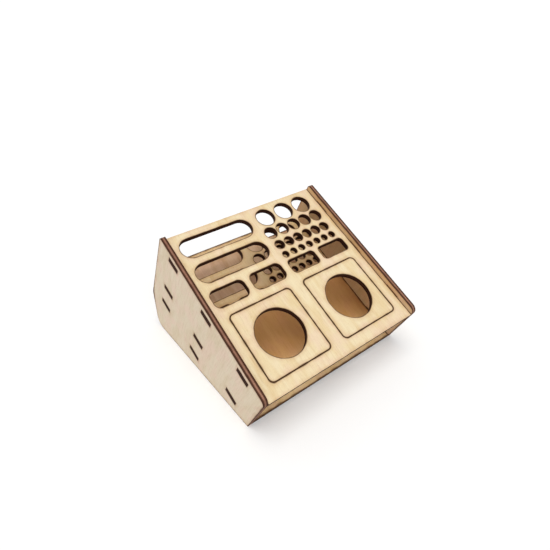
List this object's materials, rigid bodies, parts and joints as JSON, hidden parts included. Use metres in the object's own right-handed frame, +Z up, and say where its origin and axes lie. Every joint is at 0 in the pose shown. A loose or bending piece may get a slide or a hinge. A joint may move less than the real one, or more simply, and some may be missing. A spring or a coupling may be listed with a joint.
{
  "type": "soldering iron stand",
  "caption": "Sloped plywood bench stand with slots and round holes that hold soldering tools upright, a drilled inner shelf and lift-out bottle inserts.",
  "frame": {"origin": "on the table, under the middle of the stand's outer box", "axes": "+X across the stand to its right, +Y from its low front edge to its high back edge, +Z up"},
  "size_m": [0.1376, 0.1458, 0.0964],
  "materials": {
    "deck_ply": "bare birch plywood, matt, with laser-browned edges",
    "side_ply": "bare birch plywood, matt, with laser-browned edges",
    "shelf_ply": "bare birch plywood, matt, with laser-browned edges"
  },
  "bodies": {
    "stand": {"left_side_panel": "side_ply", "right_side_panel": "side_ply", "deck_panel": "deck_ply", "middle_shelf": "shelf_ply", "lower_shelf": "shelf_ply", "left_insert_ledge": "shelf_ply", "right_insert_ledge": "shelf_ply"},
    "left_insert_body": {"left_insert": "deck_ply"},
    "right_insert_body": {"right_insert": "deck_ply"}
  },
  "joints": [
    {"name": "left_insert_lift", "type": "slide", "parent": "stand", "child": "left_insert_body", "axis": [0, -0.454, 0.891], "range_m": [0, 0.04]},
    {"name": "right_insert_lift", "type": "slide", "parent": "stand", "child": "right_insert_body", "axis": [0, -0.454, 0.891], "range_m": [0, 0.04]}
  ]
}
